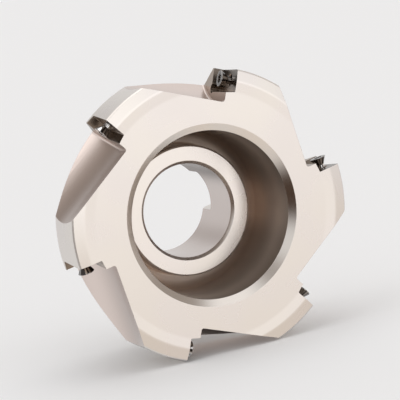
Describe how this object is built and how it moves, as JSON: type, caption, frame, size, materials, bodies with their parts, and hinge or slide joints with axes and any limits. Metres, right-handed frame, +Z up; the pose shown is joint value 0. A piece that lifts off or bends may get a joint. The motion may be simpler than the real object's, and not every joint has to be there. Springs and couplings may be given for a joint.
{
  "type": "shell face mill",
  "caption": "Right-hand shell face mill with open insert pockets round its rim, each holding its countersunk screw, a stepped arbor bore and a drive keyway across the rear hub.",
  "frame": {"origin": "centre of the cutter body's box, on the spindle axis", "axes": "+Y along the spindle axis towards the arbor, so the cutting face looks along -Y; +Z up with the mill standing level on two teeth"},
  "size_m": [0.0976, 0.0486, 0.0924],
  "materials": {
    "plated_steel": "satin nickel plating over turned and milled steel, warm tone",
    "screw_steel": "bright hardened steel, dark socket"
  },
  "bodies": {
    "cutter": {"cutter_body": "plated_steel"},
    "screw_1": {"insert_screw_1": "screw_steel"},
    "screw_2": {"insert_screw_2": "screw_steel"},
    "screw_3": {"insert_screw_3": "screw_steel"},
    "screw_4": {"insert_screw_4": "screw_steel"},
    "screw_5": {"insert_screw_5": "screw_steel"},
    "screw_6": {"insert_screw_6": "screw_steel"}
  },
  "joints": [
    {"name": "insert_screw_1_travel", "type": "slide", "parent": "cutter", "child": "screw_1", "axis": [-0.1884, 0.0872, 0.9782], "range_m": [-0.0024, 0.006]},
    {"name": "insert_screw_2_travel", "type": "slide", "parent": "cutter", "child": "screw_2", "axis": [-0.9414, 0.0872, 0.326], "range_m": [-0.0024, 0.006]},
    {"name": "insert_screw_3_travel", "type": "slide", "parent": "cutter", "child": "screw_3", "axis": [-0.753, 0.0872, -0.6522], "range_m": [-0.0024, 0.006]},
    {"name": "insert_screw_4_travel", "type": "slide", "parent": "cutter", "child": "screw_4", "axis": [0.1884, 0.0872, -0.9782], "range_m": [-0.0024, 0.006]},
    {"name": "insert_screw_5_travel", "type": "slide", "parent": "cutter", "child": "screw_5", "axis": [0.9414, 0.0872, -0.326], "range_m": [-0.0024, 0.006]},
    {"name": "insert_screw_6_travel", "type": "slide", "parent": "cutter", "child": "screw_6", "axis": [0.753, 0.0872, 0.6522], "range_m": [-0.0024, 0.006]}
  ]
}
